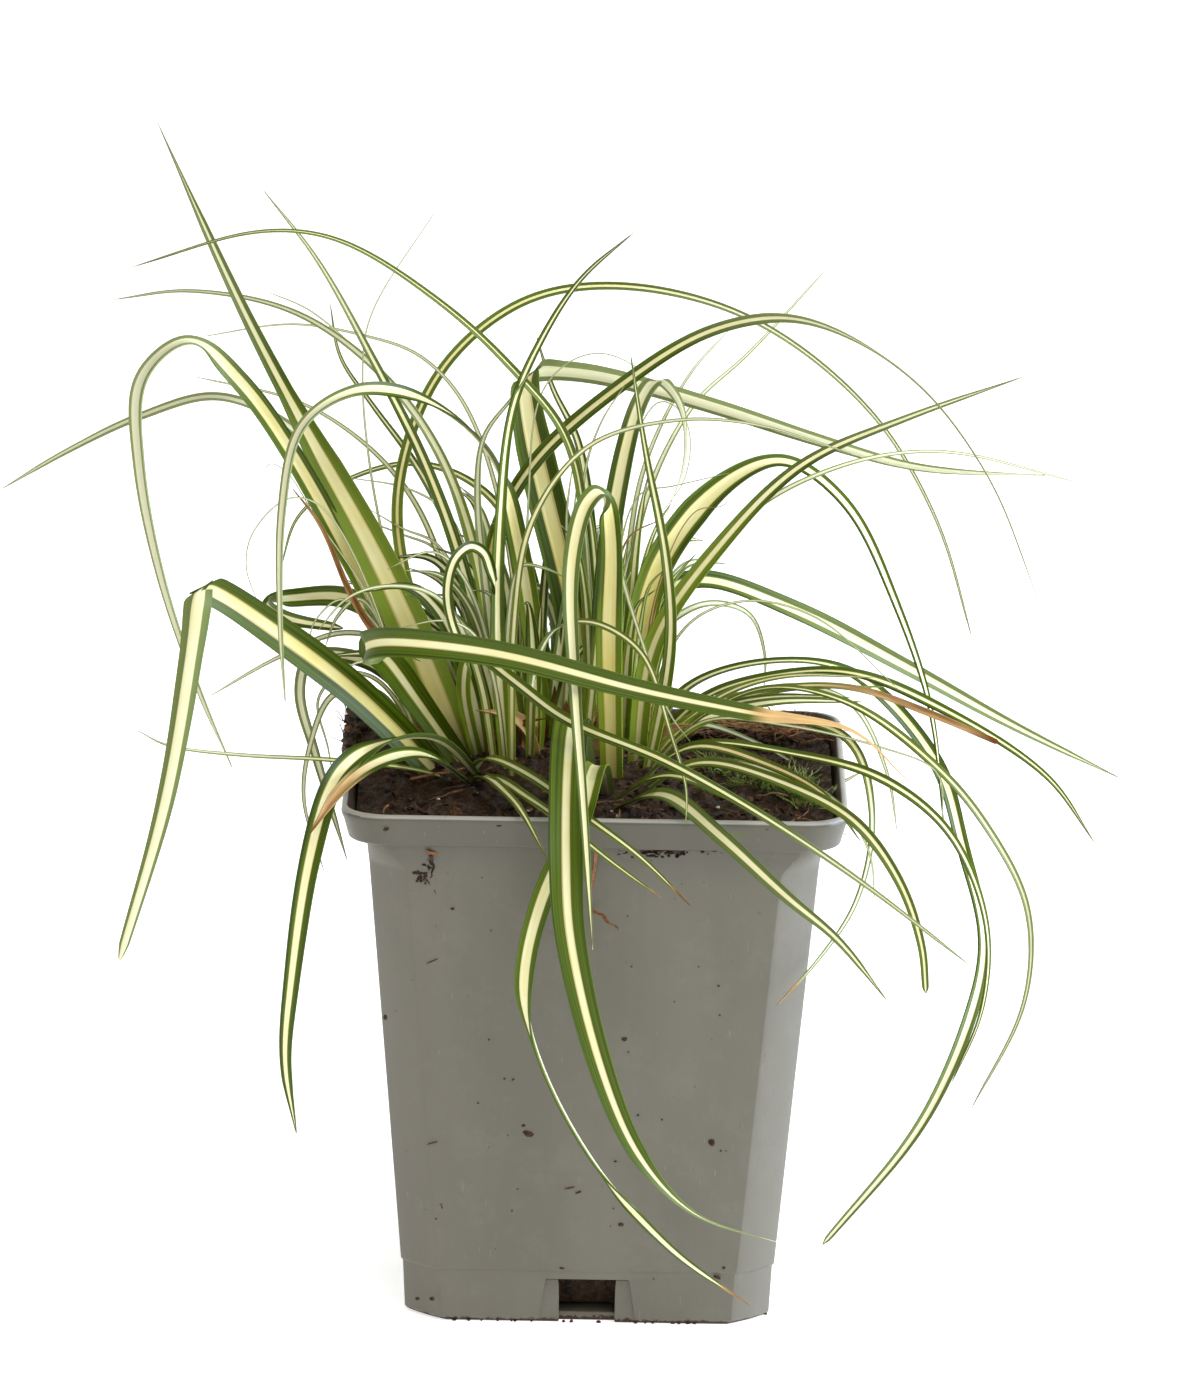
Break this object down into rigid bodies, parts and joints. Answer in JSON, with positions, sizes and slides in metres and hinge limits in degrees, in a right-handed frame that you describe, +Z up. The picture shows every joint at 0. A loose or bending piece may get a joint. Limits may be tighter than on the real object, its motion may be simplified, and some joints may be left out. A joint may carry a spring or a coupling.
{
  "type": "potted sedge",
  "caption": "Striped sedge with arching, narrow green and cream leaves, growing from a mound of peat in a square, tapered grey nursery pot.",
  "frame": {"origin": "centre of the pot's flat underside, on the surface that it stands on", "axes": "+Z up, -Y towards the pot's front side, +X to the right of a viewer who faces the front"},
  "size_m": [0.2082, 0.1304, 0.2081],
  "materials": {
    "pot_plastic": "satin",
    "peat": "matte",
    "moss": "matte",
    "striped_leaf": "satin",
    "fresh_leaf": "satin",
    "dry_leaf": "matte"
  },
  "bodies": {
    "root": {"leaf_centre_cross": "striped_leaf", "leaf_centre_folded_top": "striped_leaf", "leaf_centre_hairpin": "striped_leaf", "leaf_centre_low_arch": "striped_leaf", "leaf_centre_pale": "fresh_leaf", "leaf_centre_right_arch": "striped_leaf", "leaf_centre_spotted": "striped_leaf", "leaf_centre_tall_arch": "striped_leaf", "leaf_centre_wide": "striped_leaf", "leaf_fine_bow_left": "striped_leaf", "leaf_fine_far_up_right": "striped_leaf", "leaf_fine_right_bow": "striped_leaf", "leaf_fine_up_right": "striped_leaf", "leaf_front_band": "striped_leaf", "leaf_front_hanging_second": "striped_leaf", "leaf_front_hanging_wide": "striped_leaf", "leaf_front_left_brown_tip": "dry_leaf", "leaf_front_left_hanging": "striped_leaf", "leaf_front_long_thin": "striped_leaf", "leaf_front_right_cut": "striped_leaf", "leaf_front_right_mid": "striped_leaf", "leaf_front_right_tan": "dry_leaf", "leaf_front_right_wide": "striped_leaf", "leaf_front_small_lower": "striped_leaf", "leaf_front_small_short": "striped_leaf", "leaf_front_small_upper": "striped_leaf", "leaf_leaning_dark": "striped_leaf", "leaf_leaning_long": "striped_leaf", "leaf_leaning_pale": "fresh_leaf", "leaf_left_arch": "striped_leaf", "leaf_left_bent": "striped_leaf", "leaf_left_far": "striped_leaf", "leaf_left_fine_out": "striped_leaf", "leaf_left_folded": "striped_leaf", "leaf_left_hanging": "striped_leaf", "leaf_left_low_back": "striped_leaf", "leaf_left_tall": "striped_leaf", "leaf_left_thin_level": "striped_leaf", "leaf_low_bow_left": "striped_leaf", "leaf_old_fallen": "dry_leaf", "leaf_old_upright": "dry_leaf", "leaf_right_back_drop": "striped_leaf", "leaf_right_back_hook": "striped_leaf", "leaf_right_big_arch": "striped_leaf", "leaf_right_dark_low": "striped_leaf", "leaf_right_dark_over": "striped_leaf", "leaf_right_drop_thin": "striped_leaf", "leaf_right_far_low": "striped_leaf", "leaf_right_fine_bow": "striped_leaf", "leaf_right_level_tan": "striped_leaf", "leaf_right_long": "striped_leaf", "leaf_right_low_broad": "striped_leaf", "leaf_right_old_brown": "dry_leaf", "leaf_small_hoop": "fresh_leaf", "leaf_upper_sweep": "striped_leaf", "moss_patch": "moss", "pot": "pot_plastic", "soil": "peat"}
  },
  "joints": []
}
